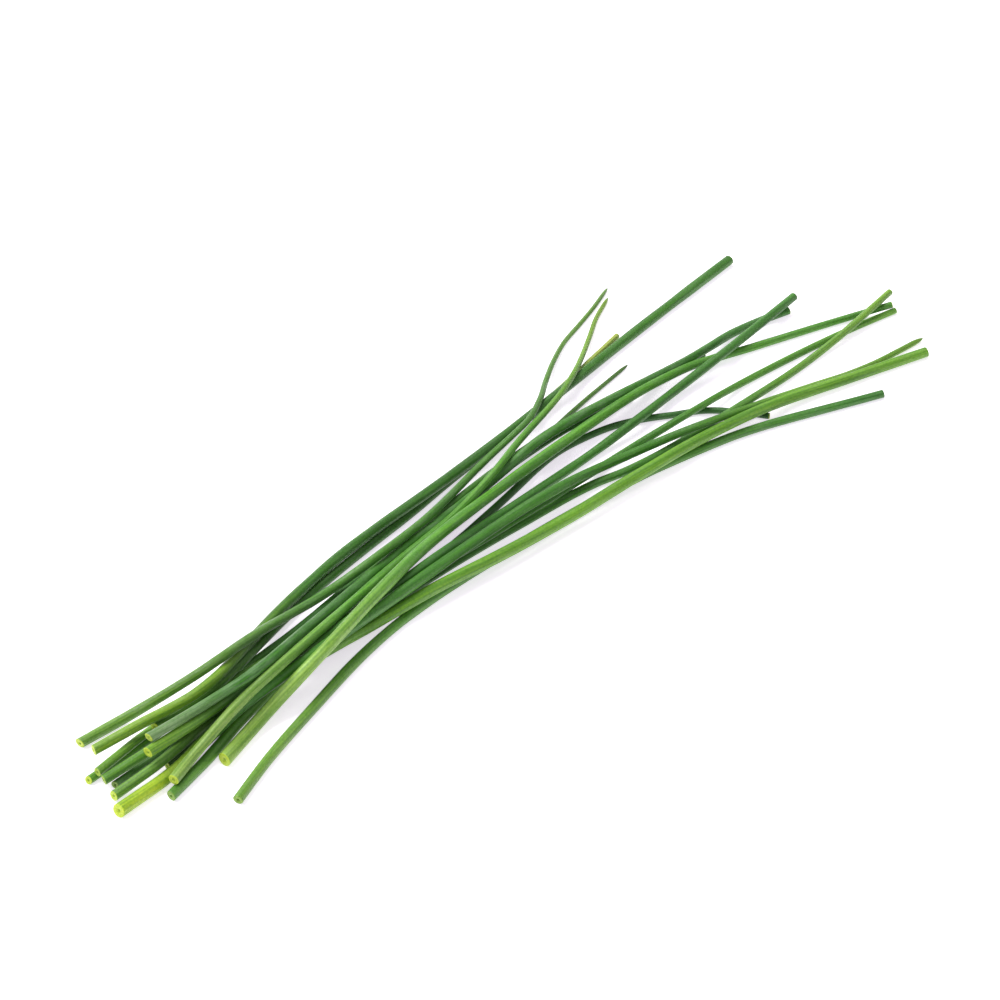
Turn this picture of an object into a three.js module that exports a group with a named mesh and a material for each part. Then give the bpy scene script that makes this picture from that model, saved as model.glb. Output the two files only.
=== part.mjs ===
// A loose bunch of cut chives lying on a table: sixteen slender hollow leaves
// that cross over one another. Millimetres, +Z up, +X from the cut butts
// towards the tips, +Y to the left; the table is the plane z = 0.

import * as THREE from 'three';
import { mergeVertices } from 'three/addons/utils/BufferGeometryUtils.js';

// ---- driving dimensions ----------------------------------------------------

const GAP = 0.3;             // clearance kept between two leaves that touch
const STATION_STEP = 7.5;    // distance between two cross-sections of a leaf
const SIDES = 8;             // facets round a leaf, one of them flat on the table
const WALL_SHARE = 0.3;      // wall of the hollow leaf, as a share of its radius
const RECESS = 1.5;          // depth of the hollow that shows at the cut butt
const BEVEL = 0.15;          // softened edge of a cut tip
const POINT_LENGTH = 3;      // length over which a whole tip closes to a point
const POINT_SHARE = 0.6;     // what is left of the radius at the end of that point

// The pile leans: a leaf that lies over another sits on its near right flank,
// so it climbs along a slanted line and not straight up.
const LEAN_SLOPE = THREE.MathUtils.degToRad(40);
const LEAN_HEADING = THREE.MathUtils.degToRad(-136.5);
const BEADS = 5;             // beads that stand in for one segment of a leaf
const SETTLE_PASSES = 800;   // rounds of letting the pile come to rest
const WEIGHT = 0.1;          // how far a leaf drops in one round

const FLAT = Math.cos(Math.PI / SIDES);   // centre to flat, as a share of the radius
const UP = new THREE.Vector3(0, 0, 1);
const LEAN = new THREE.Vector3(
  Math.cos(LEAN_HEADING) * Math.cos(LEAN_SLOPE),
  Math.sin(LEAN_HEADING) * Math.cos(LEAN_SLOPE),
  Math.sin(LEAN_SLOPE),
);
const CLIMB = LEAN.clone().divideScalar(LEAN.z);   // the way moved for 1 mm of height

// ---- the leaves, lowest in the pile first ----------------------------------
// Diameters are [cut butt, middle, tip]. A route runs from butt to tip, in plan,
// and says where the leaf would lie if nothing lifted it off the table.

const LEAVES = [
  {
    name: 'leaf_01', colour: 0x24502b, diameters: [2.1, 1.7, 1.4], tip: 'cut',
    route: [
      [-108, -7.5], [-90, -6.5], [-70, -6.5], [-50, -5.5], [-30, -2.5], [-15, -1.5], [0, 0], [15, 2],
      [27, 4], [36, 4.5], [45, 3], [53, 0.5], [60, -4], [70, -11], [77.5, -22],
    ],
  },
  {
    name: 'leaf_02', colour: 0x6fa044, diameters: [2.4, 2.3, 1.8], tip: 'cut',
    route: [
      [-105.5, -27.5], [-90, -22.5], [-70, -17.5], [-50, -13], [-35, -11], [-20, -10.5],
      [0, -11.5], [40, -15], [55, -18], [70, -22], [101.5, -35.5],
    ],
  },
  {
    name: 'leaf_03', colour: 0x2f6233, diameters: [1.8, 1.7, 1.2], tip: 'cut',
    route: [
      [-121, -3.5], [-105, -3], [-85, -1], [-60, 0], [-40, 0.5], [-20, 2], [0, 4.5], [30, 6],
      [60, 6],
    ],
  },
  {
    name: 'leaf_04', colour: 0x58953e, diameters: [2.4, 2.0, 1.5], tip: 'cut',
    route: [
      [-124, -6], [-108, -5.5], [-90, -3.5], [-60, -3.5], [-40, -4.5], [-10, -5.5], [10, -7],
      [30, -9], [40, -11.5], [50, -13], [75, -14.5], [95, -15], [110, -14], [129.5, -11.5],
    ],
  },
  {
    name: 'leaf_05', colour: 0x79a63f, diameters: [2.6, 2.8, 2.2], tip: 'cut',
    route: [
      [-115, -15.5], [-100, -12.5], [-80, -7.5], [-60, -5.5], [-40, -7], [-20, -8.5],
      [0, -11.5], [20, -13.5], [40, -14.5], [60, -16], [80, -19.5], [100, -26], [119.5, -32.5],
    ],
  },
  {
    name: 'leaf_06', colour: 0x3f7a35, diameters: [1.9, 2.0, 1.4], tip: 'cut',
    route: [
      [-124, 2], [-100, 2], [-80, 3.5], [-55, 4], [-30, 6.5], [-10, 8], [15, 9], [40, 9],
      [60, 6.5], [83.5, 4.5],
    ],
  },
  {
    name: 'leaf_07', colour: 0x4d8a3a, diameters: [2.0, 1.9, 1.4], tip: 'cut',
    route: [
      [-120.5, 2.5], [-100, 4], [-80, 3], [-60, 1], [-40, -1.5], [-20, -3], [0, -4.5], [20, -5.5],
      [40, -6.5], [60, -7.5], [80, -9], [110, -13.5], [125.5, -17],
    ],
  },
  {
    name: 'leaf_08', colour: 0x417f38, diameters: [2.3, 2.1, 1.9], tip: 'cut',
    route: [
      [-121.5, -0.5], [-100, -1], [-80, -1.5], [-60, -2.5], [-40, -2], [-10, -1], [20, -1.5],
      [40, -1.5], [60, -0.5], [90, 1.5], [113, 3.5],
    ],
  },
  {
    name: 'leaf_09', colour: 0x5a923a, diameters: [3.2, 2.4, 1.2], tip: 'point',
    route: [
      [-127, -10.5], [-108, -10], [-95, -7.5], [-80, -5], [-60, -4.5], [-30, -4], [10, -3.5],
      [20, -4], [30, -5], [40, -7], [60, -11.5], [75, -16], [90, -21], [105, -26], [122.5, -28.5],
    ],
  },
  {
    name: 'leaf_10', colour: 0x37703a, diameters: [2.2, 2.1, 1.2], tip: 'cut',
    route: [
      [-100, 4], [-85, 3.5], [-70, 5.5], [-55, 8.5], [-40, 11], [-20, 13], [-5, 14],
      [10, 15.5], [30, 17], [50, 19.5], [74.5, 23.5],
    ],
  },
  {
    name: 'leaf_11', colour: 0x3f7c40, diameters: [2.4, 2.3, 2.2], tip: 'cut',
    route: [
      [-115.5, 8.5], [-100, 7], [-88, 5.5], [-78, 6], [-60, 10], [-50, 12], [-30, 15],
      [-15, 16], [10, 16.5], [30, 17.5], [50, 19], [80, 21.5], [112.5, 23.5],
    ],
  },
  {
    name: 'leaf_12', colour: 0x4b7f35, diameters: [2.5, 1.9, 0.8], tip: 'point',
    route: [
      [-107.5, -1], [-90, -1.5], [-70, -0.5], [-50, 2.5], [-30, 5.5], [-10, 8], [10, 10],
      [28, 11], [40, 11], [50, 12.5], [68.5, 14.5],
    ],
  },
  {
    name: 'leaf_13', colour: 0x3d7d33, diameters: [2.2, 2.4, 1.8], tip: 'cut',
    route: [
      [-103.5, 2.5], [-90, 1.5], [-70, 1], [-55, 2.5], [-35, 4.5], [-15, 6.5], [5, 7.5],
      [20, 9], [35, 10.5], [50, 9.5], [65, 7.5], [80, 5.5], [95, 4.5], [108.5, 1],
    ],
  },
  {
    name: 'leaf_14', colour: 0x6f9650, diameters: [2.4, 1.9, 0.8], tip: 'point',
    route: [
      [-116, 12.5], [-100, 11], [-80, 10], [-60, 10], [-40, 8.5], [-20, 9], [-5, 10],
      [10, 12.5], [20, 14.5], [30, 16], [40, 18], [46, 21], [55, 26.5], [65, 31], [75, 33.5],
      [85.5, 37],
    ],
  },
  {
    name: 'leaf_15', colour: 0x74a53c, diameters: [2.5, 2.0, 0.9], tip: 'point',
    route: [
      [-110.5, -12], [-100, -9], [-80, -4], [-60, -1], [-40, 1.5], [-20, 4], [0, 6],
      [10, 8], [20, 10.5], [30, 13.5], [50, 18.5], [60, 22.5], [70, 28], [76, 31.5], [83, 34.5],
    ],
  },
  {
    name: 'leaf_16', colour: 0x7fae4a, diameters: [3.2, 2.5, 1.4], tip: 'cut',
    route: [
      [-97.5, -15.5], [-75, -10], [-50, -4.5], [-30, 0], [-10, 3.5], [10, 5], [40, 6], [60, 6],
      [70, 5], [80, 3], [90, -1], [110, -8.5], [126.5, -15],
    ],
  },
];

// Where the order turns over: from this x onwards the first leaf, lower in the
// pile at the butts, lies over the second.
const OVERTAKES = [
  { over: 'leaf_08', under: 'leaf_16', from: 30 },
  { over: 'leaf_08', under: 'leaf_13', from: 44 },
  { over: 'leaf_04', under: 'leaf_16', from: 80 },
  { over: 'leaf_04', under: 'leaf_07', from: 65 },
  { over: 'leaf_05', under: 'leaf_09', from: 35 },
];

// ---- one leaf as a row of stations -----------------------------------------

function radiusAt(leaf, share) {
  const [butt, middle, tip] = leaf.diameters;
  const diameter = share < 0.5
    ? THREE.MathUtils.lerp(butt, middle, share * 2)
    : THREE.MathUtils.lerp(middle, tip, share * 2 - 1);
  return diameter / 2;
}

function layOut(leaf) {
  const controls = leaf.route.map(([x, y]) => new THREE.Vector3(x, y, 0));
  const curve = new THREE.CatmullRomCurve3(controls, false, 'centripetal');
  const steps = Math.round(curve.getLength() / STATION_STEP);
  const route = curve.getSpacedPoints(steps);
  const radii = route.map((_, i) => radiusAt(leaf, i / steps));
  const heights = radii.map((radius) => FLAT * radius);
  return { ...leaf, route, radii, heights };
}

// ---- letting the pile settle -------------------------------------------------

// Round beads strung along a leaf, a few to each segment, stand in for it.
function beadsAlong(leaf) {
  const beads = [];
  for (let i = 0; i < leaf.route.length - 1; i++) {
    for (let k = 0; k < BEADS; k++) {
      const share = k / (BEADS - 1);
      const foot = leaf.route[i].clone().lerp(leaf.route[i + 1], share);
      const ahead = foot.dot(LEAN);
      const across = foot.clone().addScaledVector(LEAN, -ahead);
      const radius = THREE.MathUtils.lerp(leaf.radii[i], leaf.radii[i + 1], share);
      beads.push({ leaf, i, share, foot, ahead, across, radius });
    }
  }
  return beads;
}

function overtakes(lower, upper) {
  return OVERTAKES.some(({ over, under, from }) => over === lower.leaf.name
    && under === upper.leaf.name && upper.foot.x > from);
}

// How far the first bead has to be raised above the second one for both to clear.
function contactOf(upper, lower) {
  const needed = upper.radius + lower.radius + GAP;
  const apart = upper.across.distanceTo(lower.across);
  if (apart >= needed) return null;
  const along = Math.sqrt(needed * needed - apart * apart);
  return { upper, lower, rise: (along + lower.ahead - upper.ahead) * LEAN.z };
}

// Every place where one leaf passes over another.
function findContacts(leaves) {
  const strings = leaves.map(beadsAlong);
  const contacts = [];
  strings.forEach((under, below) => strings.slice(below + 1).forEach((over) => {
    for (const upper of over) {
      for (const lower of under) {
        const turned = overtakes(lower, upper);
        const contact = turned ? contactOf(lower, upper) : contactOf(upper, lower);
        if (contact) contacts.push(contact);
      }
    }
  }));
  return contacts;
}

function heightOf({ leaf, i, share }) {
  return THREE.MathUtils.lerp(leaf.heights[i], leaf.heights[i + 1], share);
}

function liftOver({ upper, lower, rise }) {
  const missing = heightOf(lower) + rise - heightOf(upper);
  if (missing <= 0) return;
  const { leaf, i, share } = upper;
  const spread = (1 - share) ** 2 + share ** 2;
  leaf.heights[i] += missing * (1 - share) / spread;
  leaf.heights[i + 1] += missing * share / spread;
}

// The value that a stiff straight rod would have at i, from its neighbours.
function stiffValue(values, i) {
  const last = values.length - 1;
  if (i === 0) return 2 * values[1] - values[2];
  if (i === last) return 2 * values[last - 1] - values[last - 2];
  if (i === 1) return (2 * values[0] + 4 * values[2] - values[3]) / 5;
  if (i === last - 1) return (2 * values[last] + 4 * values[last - 2] - values[last - 3]) / 5;
  return (4 * (values[i - 1] + values[i + 1]) - values[i - 2] - values[i + 2]) / 6;
}

function sag(leaf) {
  leaf.heights.forEach((_, i) => {
    const rest = stiffValue(leaf.heights, i) - WEIGHT;
    leaf.heights[i] = Math.max(rest, FLAT * leaf.radii[i]);
  });
}

function settle(leaves) {
  const contacts = findContacts(leaves);
  for (let pass = 0; pass < SETTLE_PASSES; pass++) {
    leaves.forEach(sag);
    contacts.forEach(liftOver);
  }
  for (let pass = 0; pass < leaves.length; pass++) contacts.forEach(liftOver);
  leaves.forEach((leaf) => {
    leaf.points = leaf.route.map((point, i) => point.clone().addScaledVector(CLIMB, leaf.heights[i]));
  });
}

// ---- the solid of one leaf ---------------------------------------------------

// Half outline of the straightened leaf: the hollow of the butt, the outside, the tip.
function outline(leaf, alongs) {
  const { radii } = leaf;
  const last = radii.length - 1;
  const bore = radii[0] * (1 - WALL_SHARE);
  const profile = [[0, RECESS], [bore, RECESS], [bore, 0], [radii[0], 0]];
  const closing = leaf.tip === 'point' ? POINT_LENGTH : BEVEL;
  for (let i = 1; i < last; i++) profile.push([radii[i], alongs[i]]);
  const end = alongs[last];
  profile.push([radii[last], end - closing]);
  profile.push([leaf.tip === 'point' ? radii[last] * POINT_SHARE : radii[last] - BEVEL, end]);
  profile.push([0, end]);
  return profile.map(([radius, along]) => new THREE.Vector2(radius, along));
}

// Position and heading at a distance along the settled leaf.
function frameAt(points, alongs, along) {
  let i = 1;
  while (i < points.length - 1 && alongs[i] < along) i++;
  const share = (along - alongs[i - 1]) / (alongs[i] - alongs[i - 1]);
  const heading = (k) => {
    const before = points[Math.max(k - 1, 0)];
    const after = points[Math.min(k + 1, points.length - 1)];
    return after.clone().sub(before).normalize();
  };
  const tangent = heading(i - 1).lerp(heading(i), share).normalize();
  const side = tangent.clone().cross(UP).normalize();
  const above = side.clone().cross(tangent);
  const centre = points[i - 1].clone().lerp(points[i], share);
  return { centre, tangent, side, above };
}

function withoutEmptyTriangles(geometry) {
  const { array } = geometry.index;
  const kept = [];
  for (let i = 0; i < array.length; i += 3) {
    const [a, b, c] = [array[i], array[i + 1], array[i + 2]];
    if (a !== b && b !== c && c !== a) kept.push(a, b, c);
  }
  geometry.setIndex(kept);
  return geometry;
}

function leafMesh(leaf) {
  const alongs = [0];
  for (let i = 1; i < leaf.points.length; i++) {
    alongs.push(alongs[i - 1] + leaf.points[i].distanceTo(leaf.points[i - 1]));
  }
  const lathe = new THREE.LatheGeometry(outline(leaf, alongs), SIDES, Math.PI / SIDES);
  lathe.deleteAttribute('normal');
  lathe.deleteAttribute('uv');
  const position = lathe.getAttribute('position');
  const vertex = new THREE.Vector3();
  for (let i = 0; i < position.count; i++) {
    vertex.fromBufferAttribute(position, i);
    const { centre, side, above } = frameAt(leaf.points, alongs, vertex.y);
    centre.addScaledVector(side, vertex.x).addScaledVector(above, vertex.z);
    position.setXYZ(i, centre.x, centre.y, centre.z);
  }
  const geometry = withoutEmptyTriangles(mergeVertices(lathe, 1e-4));
  const material = new THREE.MeshStandardMaterial({ color: leaf.colour, roughness: 0.5, metalness: 0 });
  const mesh = new THREE.Mesh(geometry, material);
  mesh.name = leaf.name;
  return mesh;
}

// ---- the bunch -----------------------------------------------------------------

const leaves = LEAVES.map(layOut);
settle(leaves);

const bunch = new THREE.Group();
leaves.forEach((leaf) => bunch.add(leafMesh(leaf)));

// The origin is the middle of the bunch's box, on the table.
const box = new THREE.Box3().setFromObject(bunch);
const middle = box.getCenter(new THREE.Vector3());
bunch.position.set(-middle.x, -middle.y, 0);

export default bunch;
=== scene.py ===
"""Looks of a loose bunch of cut chives.

Every leaf is rebuilt as a fine skin on the line its CAD solid follows: ribbed, a little uneven,
with a shallow dimple in its cut butt, and either cut or dried to a point at its far end. Metres,
+Z up, +X from the butts towards the tips; the leaves lie on the floor at z = 0.
"""

import math

import bpy
import numpy as np
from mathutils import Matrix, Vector


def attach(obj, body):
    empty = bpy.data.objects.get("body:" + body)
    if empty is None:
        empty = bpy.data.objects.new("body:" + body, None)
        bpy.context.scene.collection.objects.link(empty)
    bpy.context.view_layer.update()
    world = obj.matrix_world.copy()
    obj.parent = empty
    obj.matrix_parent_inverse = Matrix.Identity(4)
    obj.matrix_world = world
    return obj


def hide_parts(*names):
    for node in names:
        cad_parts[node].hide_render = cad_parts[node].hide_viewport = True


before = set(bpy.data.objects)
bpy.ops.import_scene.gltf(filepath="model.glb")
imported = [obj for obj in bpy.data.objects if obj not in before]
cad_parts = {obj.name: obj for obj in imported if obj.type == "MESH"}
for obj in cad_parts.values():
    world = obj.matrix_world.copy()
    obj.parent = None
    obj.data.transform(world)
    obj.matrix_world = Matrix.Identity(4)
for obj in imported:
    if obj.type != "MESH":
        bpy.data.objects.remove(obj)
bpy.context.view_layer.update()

MM = 0.001

# ---- leaf shape ----------------------------------------------------------------

SIDES = 24                # points round a leaf
RING_STEP = 1.0           # mm between two rings of points along a leaf
RING_GROUP = 1.9          # mm: CAD points nearer than this belong to one cross-section
CAD_FLAT = math.cos(math.pi / 8)  # centre to flat of the CAD's eight-sided leaf, as a share
SWELL = 0.06              # mm added to the radius, to narrow the gap between resting leaves
FLATTENING = 0.05         # how far the round section is squeezed to an oval
UNEVENNESS = 0.03         # slow swelling and thinning along a leaf, as a share of its radius
TWIST = 0.012             # radians of turn of the ribs per mm of length
WAVELENGTHS = (18, 90)    # mm, shortest and longest wave of the slow changes along a leaf
LEAN_SWING = 1.5          # radians that the oval section turns either way
CUT_SLANT = 0.22          # most slope of a cut across the butt
SLANT_REACH = 3           # mm over which the slope of the cut dies away
POINT_LENGTH = 2.0        # mm over which a dried tip closes to a point
CUT_END = 0.6             # mm at a cut tip that the evenly spaced rings leave free
TIP_HOLE = 3.5            # mm of depth of the hole in a cut tip
FACE_DEPTH = 0.05         # mm within which CAD points belong to a leaf's end face
LOOK_AHEAD = 0.5          # mm on each side of a ring from which its direction is taken

# ---- leaf colours ----------------------------------------------------------------
# Each leaf: its colour at the butt, in the middle and at the tip, and how much waxy bloom it has.

LEAVES = {
    "leaf_01": {"butt": "4a7a28", "body": "34701e", "tip": "34702a", "bloom": 0.04},
    "leaf_02": {"butt": "80b040", "body": "5c9c2c", "tip": "468a30", "bloom": 0.08},
    "leaf_03": {"butt": "568a3c", "body": "356c20", "tip": "356c20", "bloom": 0.14},
    "leaf_04": {"butt": "7cac44", "body": "529628", "tip": "86b43a", "bloom": 0.08},
    "leaf_05": {"butt": "66a032", "body": "78b028", "tip": "82b838", "bloom": 0.05},
    "leaf_06": {"butt": "6aa42a", "body": "428426", "tip": "428426", "bloom": 0.06},
    "leaf_07": {"butt": "80b23a", "body": "529628", "tip": "78b03a", "bloom": 0.06},
    "leaf_08": {"butt": "6aa42a", "body": "468a24", "tip": "4c8c30", "bloom": 0.06},
    "leaf_09": {"butt": "b8d62c", "body": "4c9022", "tip": "8ab440", "bloom": 0.04},
    "leaf_10": {"butt": "66982e", "body": "43801e", "tip": "c8d06a", "bloom": 0.08},
    "leaf_11": {"butt": "92bc2c", "body": "44841e", "tip": "4e8e2e", "bloom": 0.07},
    "leaf_12": {"butt": "84b42e", "body": "4c8826", "tip": "5c8432", "bloom": 0.06},
    "leaf_13": {"butt": "8fb07c", "body": "468822", "tip": "44882a", "bloom": 0.16},
    "leaf_14": {"butt": "7aa83e", "body": "5a9630", "tip": "7aa448", "bloom": 0.12},
    "leaf_15": {"butt": "9ec05a", "body": "68ac2c", "tip": "98b844", "bloom": 0.10},
    "leaf_16": {"butt": "aad05c", "body": "68ae2c", "tip": "60a234", "bloom": 0.10},
}
# Shares of the length between which the butt's colour turns into the body's.
FADE = {"leaf_09": (0.05, 0.13), "leaf_12": (0.02, 0.16), "leaf_13": (0.02, 0.12)}
USUAL_FADE = (0.10, 0.34)
BODY_END = 0.72            # share of the length where the tip's colour starts to come in
# Share of the cut end's bright yellow-green in place of the leaf's own green.
CUT_YELLOW = {"leaf_02": 0.15, "leaf_03": 0.2, "leaf_05": 0.2, "leaf_07": 0.4, "leaf_08": 0.4}
USUAL_CUT_YELLOW = 0.75
# Leaves that end in a dried point instead of a cut.
POINTED = ("leaf_09", "leaf_12", "leaf_14", "leaf_15")
RIM_COLOUR = "cce03a"      # cut flesh
HOLLOW_COLOUR = "b4d038"   # inside of the dimple or hole
BLOOM_COLOUR = "b9cbb4"    # waxy bloom
# What the skin's slow patches, lengthwise ribs and fine specks multiply its colour by.
PATCH_SHADE = (0.66, 0.74, 0.46, 1)
RIB_SHADE = (0.46, 0.62, 0.36, 1)
SPECK_SHADE = (0.66, 0.74, 0.60, 1)


def linear(text):
    """A hex colour as linear red, green, blue and alpha."""
    values = [int(text[i:i + 2], 16) / 255 for i in (0, 2, 4)]
    channels = [v / 12.92 if v <= 0.04045 else ((v + 0.055) / 1.055) ** 2.4 for v in values]
    return tuple(channels) + (1.0,)


# ---- the line of a leaf, from its CAD solid ----------------------------------------

def cross_sections(points):
    """Groups the points of a CAD leaf into its cross-sections, from butt to tip."""
    near = np.linalg.norm(points[:, None] - points[None], axis=2) < RING_GROUP
    label = np.arange(len(points))
    while True:
        lowest = np.where(near, label[None], len(points)).min(axis=1)
        if (lowest == label).all():
            break
        label = lowest
    groups = [points[label == value] for value in np.unique(label)]
    return sorted(groups, key=lambda group: group[:, 0].mean())


def end_section(group, inner_centre):
    """Centre and radius of the outermost face of an end group."""
    outward = group.mean(axis=0) - inner_centre
    outward /= np.linalg.norm(outward)
    reach = group @ outward
    face = group[reach > reach.max() - FACE_DEPTH]
    centre = face.mean(axis=0)
    across = group - centre
    across -= (across @ outward)[:, None] * outward
    return centre, np.linalg.norm(across, axis=1).max()


def leaf_line(node):
    """Centres and radii, in mm, of the cross-sections of a CAD leaf."""
    raw = np.array([v.co[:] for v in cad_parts[node].data.vertices]) / MM
    groups = cross_sections(np.unique(np.round(raw, 3), axis=0))
    centres = [group.mean(axis=0) for group in groups]
    radii = [np.linalg.norm(g - c, axis=1).max() for g, c in zip(groups, centres)]
    centres[0], radii[0] = end_section(groups[0], centres[1])
    centres[-1], radii[-1] = end_section(groups[-1], centres[-2])
    return np.array(centres), np.array(radii)


def smooth_line(values, knots, places):
    """Values at any places along a leaf: a smooth curve through the ones at its knots."""
    slopes = np.gradient(values, knots, axis=0)
    i = np.clip(np.searchsorted(knots, places, side="right") - 1, 0, len(knots) - 2)
    span = knots[i + 1] - knots[i]
    t = (places - knots[i]) / span
    if values.ndim > 1:
        span, t = span[:, None], t[:, None]
    return (
        (2 * t**3 - 3 * t**2 + 1) * values[i]
        + (t**3 - 2 * t**2 + t) * span * slopes[i]
        + (3 * t**2 - 2 * t**3) * values[i + 1]
        + (t**3 - t**2) * span * slopes[i + 1]
    )


# ---- the surface of a leaf ---------------------------------------------------------

def profile(length, pointed):
    """Half section of the straightened leaf as (place along in mm, share of radius, flesh).

    Flesh is 0 on the skin, 1 on the cut rim and 2 inside the dimple or hole. The first rows run
    from the shallow dimple in the butt out to its rim.
    """
    rows = [(0.42, 0.10, 2), (0.32, 0.17, 2), (0.2, 0.25, 2), (0.09, 0.34, 1), (0.02, 0.46, 1)]
    rows += [(0.0, 0.60, 1), (0.0, 0.84, 1), (0.04, 0.95, 1), (0.16, 1.0, 0), (0.45, 1.0, 0)]
    end = length - (POINT_LENGTH if pointed else CUT_END)
    count = int((end - 1.0) / RING_STEP)
    rows += [(place, 1.0, 0) for place in np.linspace(1.0, end, count)]
    if pointed:
        for u in (0.35, 0.6, 0.8, 0.92):
            rows.append((length - POINT_LENGTH + POINT_LENGTH * u, math.sqrt(1 - u * u), 0))
        return rows + [(length, 0.12, 0)]
    rows += [(length - 0.16, 1.0, 0), (length - 0.04, 0.96, 1), (length, 0.88, 1)]
    return rows + [(length, 0.72, 1), (length - 0.1, 0.64, 1), (length - TIP_HOLE, 0.5, 2)]


def waves(places, random, count=5):
    """A slow random wave along a leaf, between about -1 and 1."""
    total = np.zeros_like(places)
    for k in range(count):
        wavelength = random.uniform(*WAVELENGTHS)
        total += np.sin(2 * math.pi * places / wavelength + random.uniform(0, 2 * math.pi))
    return total / count


def leaf_piece(node, seed):
    """The fine surface of one leaf, as an object."""
    random = np.random.RandomState(seed)
    centres, radii = leaf_line(node)
    knots = np.concatenate([[0], np.cumsum(np.linalg.norm(np.diff(centres, axis=0), axis=1))])
    length = knots[-1]
    rows = profile(length, node in POINTED)
    places = np.array([row[0] for row in rows])
    shares = np.array([row[1] for row in rows])
    flesh = np.array([row[2] for row in rows], dtype=float)

    line = smooth_line(centres, knots, places)
    ahead = smooth_line(centres, knots, np.minimum(places + LOOK_AHEAD, length))
    behind = smooth_line(centres, knots, np.maximum(places - LOOK_AHEAD, 0))
    tangent = ahead - behind
    tangent /= np.linalg.norm(tangent, axis=1)[:, None]
    side = np.cross(tangent, [0, 0, 1])
    side /= np.linalg.norm(side, axis=1)[:, None]
    above = np.cross(side, tangent)

    cad_radius = np.interp(places, knots, radii)
    radius = (cad_radius + SWELL) * (1 + UNEVENNESS * waves(places, random))
    line[:, 2] += radius - CAD_FLAT * cad_radius
    squeeze = FLATTENING * (1 + waves(places, random)) / 2
    lean = waves(places, random) * LEAN_SWING

    turn = np.arange(SIDES) * 2 * math.pi / SIDES
    oval = 1 + squeeze[:, None] * np.cos(2 * (turn[None] - lean[:, None]))
    spread = (radius * shares)[:, None] * oval
    slant = random.uniform(-CUT_SLANT, CUT_SLANT, 2)
    near_end = np.exp(-places / SLANT_REACH)[:, None]
    shear = near_end * spread * (slant[0] * np.cos(turn) + slant[1] * np.sin(turn))
    points = (
        line[:, None]
        + side[:, None] * (spread * np.cos(turn))[..., None]
        + above[:, None] * (spread * np.sin(turn))[..., None]
        + tangent[:, None] * shear[..., None]
    )
    points[..., 2] = np.maximum(points[..., 2], 0.0)

    count = len(rows)
    vertices = list(points.reshape(-1, 3)) + [points[0].mean(axis=0), points[-1].mean(axis=0)]
    faces = []
    for i in range(count - 1):
        for k in range(SIDES):
            m = (k + 1) % SIDES
            a, b = i * SIDES, (i + 1) * SIDES
            faces.append((a + k, b + k, b + m, a + m))
    first, last = count * SIDES, count * SIDES + 1
    for k in range(SIDES):
        m = (k + 1) % SIDES
        faces.append((first, k, m))
        faces.append((last, (count - 1) * SIDES + m, (count - 1) * SIDES + k))
    mesh = bpy.data.meshes.new(node + "_skin")
    mesh.from_pydata([tuple(v * MM for v in p) for p in vertices], [], faces)
    mesh.validate()
    mesh.shade_smooth()

    twisted = turn[None] + TWIST * places[:, None]
    along_mm = np.repeat(places[:, None], SIDES, 1)
    skin = np.stack([np.cos(twisted), np.sin(twisted), along_mm], axis=2)
    ends = [[0, 0, places[0]], [0, 0, places[-1]]]
    skin = np.concatenate([skin.reshape(-1, 3), ends])
    along = np.concatenate([np.repeat(places / length, SIDES), [0, 1]])
    fleshy = np.concatenate([np.repeat(flesh, SIDES), [flesh[0], flesh[-1]]])
    mesh.attributes.new("skin", "FLOAT_VECTOR", "POINT").data.foreach_set("vector", skin.ravel())
    mesh.attributes.new("along", "FLOAT", "POINT").data.foreach_set("value", along)
    mesh.attributes.new("flesh", "FLOAT", "POINT").data.foreach_set("value", fleshy)

    piece = bpy.data.objects.new(node + "_look", mesh)
    bpy.context.collection.objects.link(piece)
    return piece


# ---- materials -----------------------------------------------------------------------

class Nodes:
    """A small helper that adds and links shader nodes."""

    def __init__(self, name):
        self.material = bpy.data.materials.new(name)
        self.material.use_nodes = True
        self.tree = self.material.node_tree
        self.tree.nodes.clear()

    def add(self, kind, inputs=None, **settings):
        node = self.tree.nodes.new(kind)
        for key, value in settings.items():
            setattr(node, key, value)
        for key, value in (inputs or {}).items():
            if isinstance(value, bpy.types.NodeSocket):
                self.tree.links.new(value, node.inputs[key])
            else:
                node.inputs[key].default_value = value
        return node

    def noise(self, vector, scale, stretch, detail=3.0, roughness=0.5):
        """Noise between 0 and 1 over the skin, stretched along the leaf."""
        spread = self.add("ShaderNodeMapping", {"Vector": vector, "Scale": stretch})
        noise = self.add(
            "ShaderNodeTexNoise",
            {"Vector": spread.outputs[0], "Scale": scale, "Detail": detail, "Roughness": roughness},
        )
        return noise.outputs["Fac"]

    def ranged(self, value, low, high, to_low, to_high):
        limits = {"From Min": low, "From Max": high, "To Min": to_low, "To Max": to_high}
        return self.add("ShaderNodeMapRange", {"Value": value, **limits}).outputs[0]

    def mixed(self, factor, a, b, blend="MIX"):
        node = self.add("ShaderNodeMix", data_type="RGBA", blend_type=blend)
        for socket, value in ((node.inputs[0], factor), (node.inputs[6], a), (node.inputs[7], b)):
            if isinstance(value, bpy.types.NodeSocket):
                self.tree.links.new(value, socket)
            else:
                socket.default_value = value
        return node.outputs[2]


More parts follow.
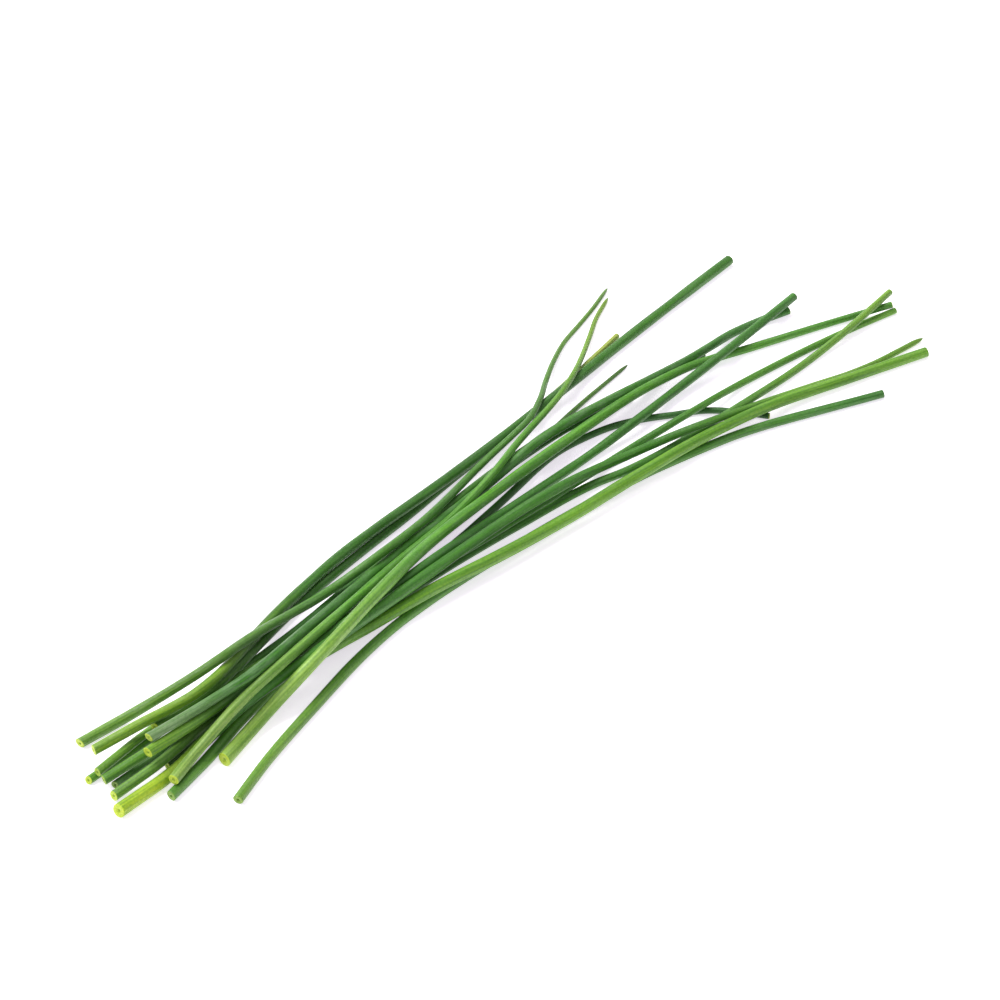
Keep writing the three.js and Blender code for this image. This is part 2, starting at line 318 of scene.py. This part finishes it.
def leaf_material(node, look, seed):
    """Green skin with ribs, specks and bloom, and yellow-green flesh where the leaf is cut."""
    n = Nodes(node + "_leaf")
    skin = n.add("ShaderNodeAttribute", attribute_name="skin").outputs["Vector"]
    along = n.add("ShaderNodeAttribute", attribute_name="along").outputs["Fac"]
    flesh = n.add("ShaderNodeAttribute", attribute_name="flesh").outputs["Fac"]
    start = (seed * 3.7, seed * 1.9, seed * 11.0)
    offset = n.add("ShaderNodeVectorMath", {0: skin, 1: start}).outputs[0]

    ramp = n.add("ShaderNodeValToRGB", {"Fac": along})
    stops = ramp.color_ramp.elements
    stops[0].position, stops[0].color = 0.0, linear(look["butt"])
    stops[1].position, stops[1].color = 1.0, linear(look["tip"])
    fade_start, fade_end = FADE.get(node, USUAL_FADE)
    middle = ((fade_start, look["butt"]), (fade_end, look["body"]), (BODY_END, look["body"]))
    for place, colour in middle:
        stops.new(place).color = linear(colour)

    patches = n.noise(offset, 1.0, (0.6, 0.6, 0.05))
    ribs = n.noise(offset, 2.6, (1.0, 1.0, 0.015), detail=3.0)
    specks = n.noise(offset, 1.8, (1.0, 1.0, 0.8), detail=4.0, roughness=0.65)
    patchy = n.ranged(patches, 0.35, 0.65, 0.0, 0.7)
    ribbed = n.ranged(ribs, 0.4, 0.6, 0.0, 0.8)
    speckled = n.ranged(specks, 0.45, 0.65, 0.0, 0.7)
    colour = n.mixed(patchy, ramp.outputs[0], PATCH_SHADE, "MULTIPLY")
    colour = n.mixed(ribbed, colour, RIB_SHADE, "MULTIPLY")
    colour = n.mixed(speckled, colour, SPECK_SHADE, "MULTIPLY")
    cloudy = n.noise(offset, 1.6, (0.7, 0.7, 0.12), detail=4.0)
    bloom = n.ranged(cloudy, 0.4, 0.75, 0.0, look["bloom"])
    colour = n.mixed(bloom, colour, linear(BLOOM_COLOUR))
    inside = n.ranged(flesh, 1.0, 2.0, 0.0, 1.0)
    cut = n.mixed(inside, linear(RIM_COLOUR), linear(HOLLOW_COLOUR))
    cut = n.mixed(CUT_YELLOW.get(node, USUAL_CUT_YELLOW), colour, cut)
    colour = n.mixed(n.ranged(flesh, 0.0, 1.0, 0.0, 1.0), colour, cut)

    height = n.add("ShaderNodeMath", {0: ribs, 1: 0.7}, operation="MULTIPLY").outputs[0]
    height = n.add("ShaderNodeMath", {0: height, 1: specks}, operation="ADD").outputs[0]
    bump = n.add("ShaderNodeBump", {"Height": height, "Strength": 0.5, "Distance": 0.0003})
    gloss = n.ranged(specks, 0.3, 0.7, 0.36, 0.5)
    shader = n.add(
        "ShaderNodeBsdfPrincipled",
        {
            "Base Color": colour,
            "Roughness": gloss,
            "Normal": bump.outputs[0],
            "Specular IOR Level": 0.5,
            "Subsurface Weight": 0.12,
            "Subsurface Radius": (0.6, 1.0, 0.3),
            "Subsurface Scale": 0.0012,
            "Sheen Weight": 0.12,
            "Sheen Roughness": 0.4,
        },
    )
    n.add("ShaderNodeOutputMaterial", {"Surface": shader.outputs[0]})
    return n.material


# ---- the leaves ------------------------------------------------------------------------

for number, (name, look) in enumerate(LEAVES.items(), start=1):
    leaf = leaf_piece(name, seed=number)
    leaf.data.materials.append(leaf_material(name, look, seed=number))
    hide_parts(name)
    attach(leaf, "root")


# ---- floor, light and camera -------------------------------------------------------------

FLOOR_HALF = 20.0                        # metres
FLOOR_COLOUR = (0.9, 0.88, 0.92, 1)
FLOOR_PAINTED_GLOW_STRENGTH = 0.64
FLOOR_PAINTED_GLOW = (0.96, 0.86, 1.0, 1)        # painted glow: light the floor gives off itself, lifting its shadows to a pale lavender and lighting the leaves from below
CAMERA_AZIMUTH = math.radians(-46.5)
CAMERA_ELEVATION = math.radians(40.0)
CAMERA_LENS = 1200.0                     # long, so that the view is almost parallel
FRAME_WIDTH = 0.230                      # metres seen across the picture
AIM = Vector((0.0082, -0.0026, 0.0062))  # the point in the middle of the picture
CAMERA_SENSOR = 36.0                     # mm
CAMERA_CLIP = (0.1, 100.0)               # metres
SUN_ANGLE = math.radians(50)             # wide, so that the shadows are soft
SUN_STRENGTH = 3.1
SUN_COLOUR = (1.0, 0.985, 0.95)
SUN_TOWARDS = (-0.5, 0.3, 0.85)          # seen by the camera: right, away and up
ROOM_COLOUR = (0.98, 0.97, 1.0, 1)
ROOM_STRENGTH = 0.50


def add_floor():
    mesh = bpy.data.meshes.new("floor")
    h = FLOOR_HALF
    mesh.from_pydata([(-h, -h, 0), (h, -h, 0), (h, h, 0), (-h, h, 0)], [], [(0, 1, 2, 3)])
    floor = bpy.data.objects.new("floor", mesh)
    bpy.context.collection.objects.link(floor)
    n = Nodes("floor_white")
    shader = n.add(
        "ShaderNodeBsdfPrincipled",
        {
            "Base Color": FLOOR_COLOUR,
            "Roughness": 0.9,
            "Specular IOR Level": 0.0,
            # Painted glow: the floor emits light of its own, which lifts its shadows and lights the
            # leaves from below.
            "Emission Color": FLOOR_PAINTED_GLOW,
            "Emission Strength": FLOOR_PAINTED_GLOW_STRENGTH,
        },
    )
    n.add("ShaderNodeOutputMaterial", {"Surface": shader.outputs[0]})
    mesh.materials.append(n.material)


def add_light():
    right = Vector((math.cos(CAMERA_AZIMUTH), math.sin(CAMERA_AZIMUTH), 0))
    forward = Vector((-math.sin(CAMERA_AZIMUTH), math.cos(CAMERA_AZIMUTH), 0))
    data = bpy.data.lights.new("window", "SUN")
    data.energy = SUN_STRENGTH
    data.color = SUN_COLOUR
    data.angle = SUN_ANGLE
    sun = bpy.data.objects.new("window", data)
    to_right, away, up = SUN_TOWARDS
    towards = to_right * right + away * forward + Vector((0, 0, up))
    sun.rotation_mode = "QUATERNION"
    sun.rotation_quaternion = towards.to_track_quat("Z", "Y")
    bpy.context.collection.objects.link(sun)

    world = bpy.data.worlds.new("room")
    world.use_nodes = True
    background = world.node_tree.nodes["Background"]
    background.inputs["Color"].default_value = ROOM_COLOUR
    background.inputs["Strength"].default_value = ROOM_STRENGTH
    bpy.context.scene.world = world


def add_camera():
    data = bpy.data.cameras.new("camera")
    data.lens = CAMERA_LENS
    data.sensor_width = CAMERA_SENSOR
    camera = bpy.data.objects.new("camera", data)
    a, e = CAMERA_AZIMUTH, CAMERA_ELEVATION
    back = Vector((math.sin(a) * math.cos(e), -math.cos(a) * math.cos(e), math.sin(e)))
    distance = FRAME_WIDTH * CAMERA_LENS / data.sensor_width
    camera.location = AIM + back * distance
    camera.rotation_mode = "QUATERNION"
    camera.rotation_quaternion = back.to_track_quat("Z", "Y")
    data.clip_start, data.clip_end = CAMERA_CLIP
    bpy.context.collection.objects.link(camera)
    bpy.context.scene.camera = camera


add_floor()
add_light()
add_camera()
bpy.context.scene.view_settings.view_transform = "Standard"
